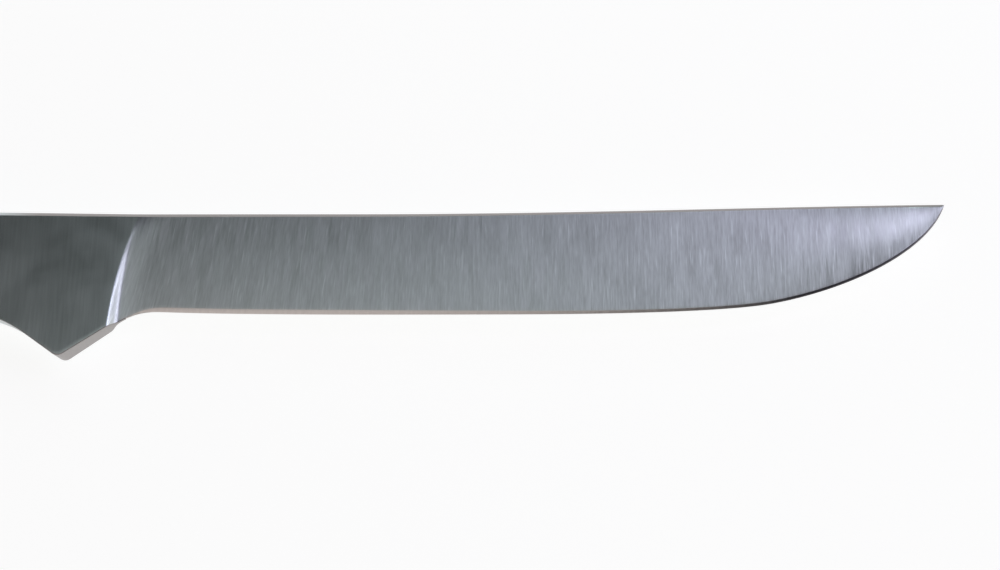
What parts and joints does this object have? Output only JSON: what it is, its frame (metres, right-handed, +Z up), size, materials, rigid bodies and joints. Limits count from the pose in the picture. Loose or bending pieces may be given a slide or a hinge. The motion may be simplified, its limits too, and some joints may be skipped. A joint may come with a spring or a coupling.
{
  "type": "boning knife",
  "caption": "Straight stiff boning knife with a brushed blade, pointed integral finger guard and a riveted full-tang handle.",
  "frame": {"origin": "centre of the underside of the knife's box, with the knife lying on its left side", "axes": "+X to the point, +Y from the edge to the spine, +Z up, out of the knife's right side"},
  "size_m": [0.294, 0.0304, 0.0155],
  "materials": {
    "blade_steel": "satin, ground across the blade",
    "rivet_steel": "satin, ground flush",
    "handle_polymer": "matte, finely sanded"
  },
  "bodies": {
    "root": {"blade_forging": "blade_steel", "scale_right": "handle_polymer", "scale_left": "handle_polymer", "rivet_front_tube": "rivet_steel", "rivet_front_pin": "rivet_steel", "rivet_middle_tube": "rivet_steel", "rivet_middle_pin": "rivet_steel", "rivet_rear_tube": "rivet_steel", "rivet_rear_pin": "rivet_steel"}
  },
  "joints": []
}
